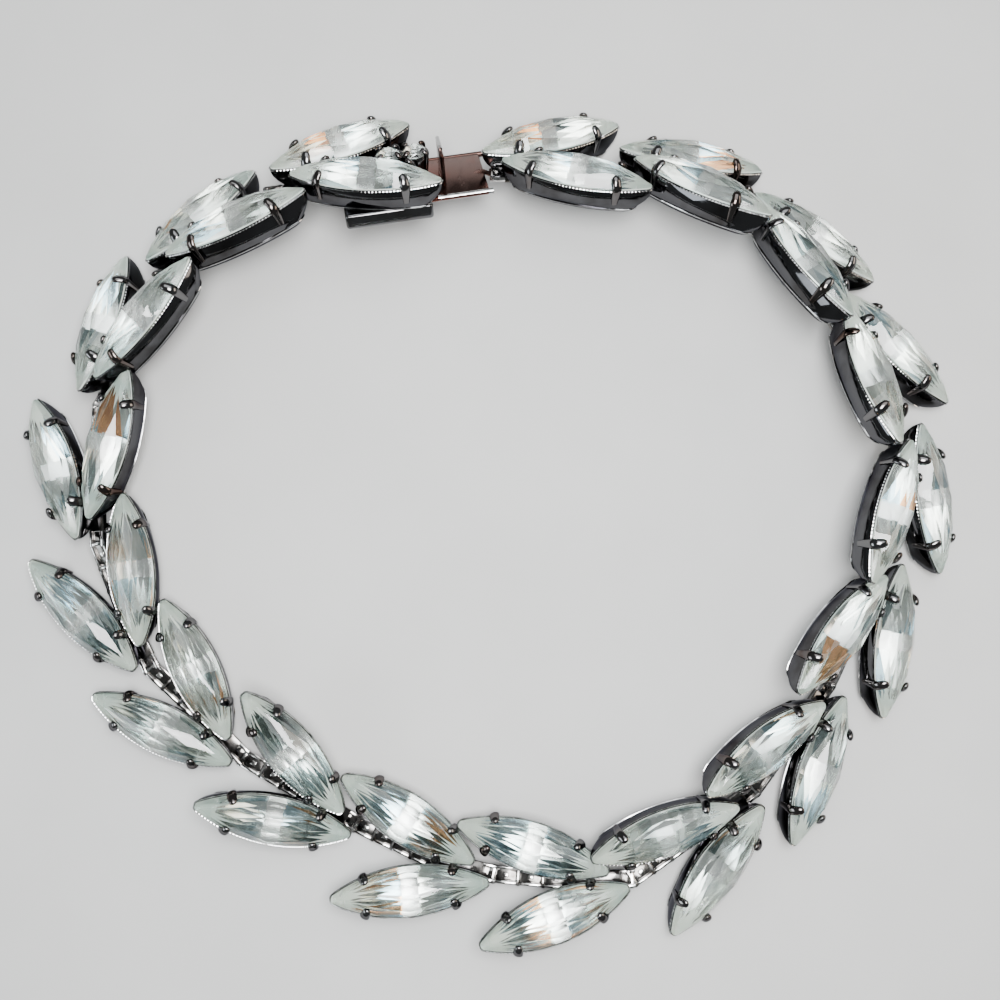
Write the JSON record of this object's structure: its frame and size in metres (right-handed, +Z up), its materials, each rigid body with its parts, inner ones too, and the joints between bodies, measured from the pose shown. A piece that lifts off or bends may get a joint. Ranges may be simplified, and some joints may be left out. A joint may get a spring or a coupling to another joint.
{
  "type": "link bracelet",
  "caption": "Closed bracelet of V-shaped links, each with paired pointed oval stones in prong-set cups, joined by flat straps and a tongue clasp.",
  "frame": {"origin": "under the middle of the closed loop, on the surface it lies on", "axes": "+Z up through the loop, along the wrist; +Y towards the clasp; +X to the right as seen from above with the clasp at the far side"},
  "size_m": [0.0756, 0.0678, 0.0094],
  "materials": {
    "setting_metal": "polished dark plate that mirrors what is round it",
    "foiled_glass": "clear faceted glass with a silver foil behind it, so it isn't seen through",
    "tongue_metal": "polished dark plate"
  },
  "bodies": {
    "root": {"setting_01": "setting_metal", "stone_outer_01": "foiled_glass", "stone_inner_01": "foiled_glass", "setting_02": "setting_metal", "stone_outer_02": "foiled_glass", "stone_inner_02": "foiled_glass", "setting_03": "setting_metal", "stone_outer_03": "foiled_glass", "stone_inner_03": "foiled_glass", "setting_04": "setting_metal", "stone_outer_04": "foiled_glass", "stone_inner_04": "foiled_glass", "setting_05": "setting_metal", "stone_outer_05": "foiled_glass", "stone_inner_05": "foiled_glass", "setting_06": "setting_metal", "stone_outer_06": "foiled_glass", "stone_inner_06": "foiled_glass", "setting_07": "setting_metal", "stone_outer_07": "foiled_glass", "stone_inner_07": "foiled_glass", "setting_08": "setting_metal", "stone_outer_08": "foiled_glass", "stone_inner_08": "foiled_glass", "setting_09": "setting_metal", "stone_outer_09": "foiled_glass", "stone_inner_09": "foiled_glass", "setting_10": "setting_metal", "stone_outer_10": "foiled_glass", "stone_inner_10": "foiled_glass", "setting_11": "setting_metal", "stone_outer_11": "foiled_glass", "stone_inner_11": "foiled_glass", "setting_12": "setting_metal", "stone_outer_12": "foiled_glass", "stone_inner_12": "foiled_glass", "setting_13": "setting_metal", "stone_outer_13": "foiled_glass", "stone_inner_13": "foiled_glass", "setting_14": "setting_metal", "stone_outer_14": "foiled_glass", "stone_inner_14": "foiled_glass", "setting_15": "setting_metal", "stone_outer_15": "foiled_glass", "stone_inner_15": "foiled_glass", "setting_16": "setting_metal", "stone_outer_16": "foiled_glass", "stone_inner_16": "foiled_glass", "setting_17": "setting_metal", "stone_outer_17": "foiled_glass", "stone_inner_17": "foiled_glass", "clasp_tongue": "tongue_metal"}
  },
  "joints": []
}
